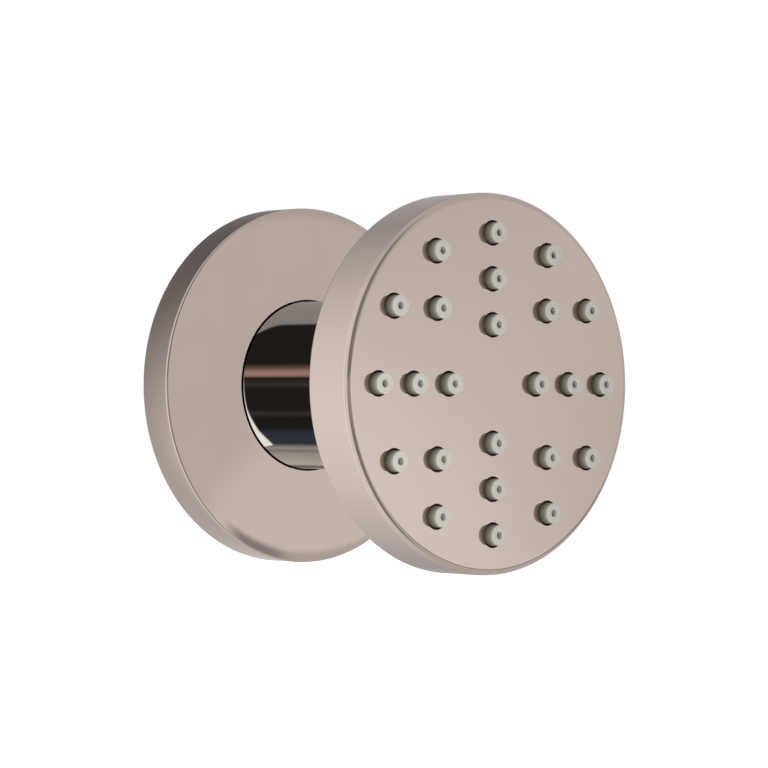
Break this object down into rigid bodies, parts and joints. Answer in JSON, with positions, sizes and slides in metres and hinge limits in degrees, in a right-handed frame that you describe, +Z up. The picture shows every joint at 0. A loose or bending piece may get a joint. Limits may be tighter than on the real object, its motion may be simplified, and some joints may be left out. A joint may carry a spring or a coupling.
{
  "type": "shower body jet",
  "caption": "Wall-mounted shower body jet: a round spray head with rubber nozzles on a ball joint, on a thick neck that comes out of a sliding round wall flange.",
  "frame": {"origin": "on the wall, at the middle of the inlet thread, where the flange's back rests", "axes": "the jet leaves along -Y, the supply comes from +Y, +Z up"},
  "size_m": [0.075, 0.0797, 0.075],
  "materials": {
    "satin_nickel": "warm nickel plate on brass, softly polished",
    "mirror_nickel": "warm nickel plate on brass, mirror polished",
    "raw_brass": "turned, unplated",
    "nozzle_rubber": "pale grey silicone, matt",
    "black_rubber": "black, matt",
    "white_plastic": "moulded, off-white"
  },
  "bodies": {
    "neck": {"neck_body": "mirror_nickel", "retaining_ring": "raw_brass", "seat_o_ring": "black_rubber", "inlet_nipple": "raw_brass", "nipple_o_ring": "black_rubber", "inlet_filter": "white_plastic", "regulator_body": "white_plastic", "regulator_ring": "black_rubber", "regulator_o_ring": "black_rubber"},
    "seats": {"front_seat": "white_plastic", "rear_seat": "white_plastic"},
    "head": {"head_shell": "satin_nickel", "nozzle_mat": "nozzle_rubber", "spray_plate": "white_plastic", "back_plate": "satin_nickel", "chamber_o_ring": "black_rubber", "swivel_ball": "mirror_nickel", "stem_o_ring": "black_rubber"},
    "flange": {"flange": "satin_nickel", "flange_o_ring": "black_rubber", "wall_gasket": "black_rubber"}
  },
  "joints": [
    {"name": "flange_slide", "type": "slide", "parent": "neck", "child": "flange", "axis": [0, -1, 0], "range_m": [0, 0.03]},
    {"name": "head_swivel", "type": "hinge", "parent": "neck", "child": "seats", "pos_m": [0, -0.03839, 0], "axis": [0, -1, 0], "continuous": true},
    {"name": "head_tilt", "type": "hinge", "parent": "seats", "child": "head", "pos_m": [0, -0.03839, 0], "axis": [1, 0, 0], "range_deg": [-15, 15]}
  ]
}
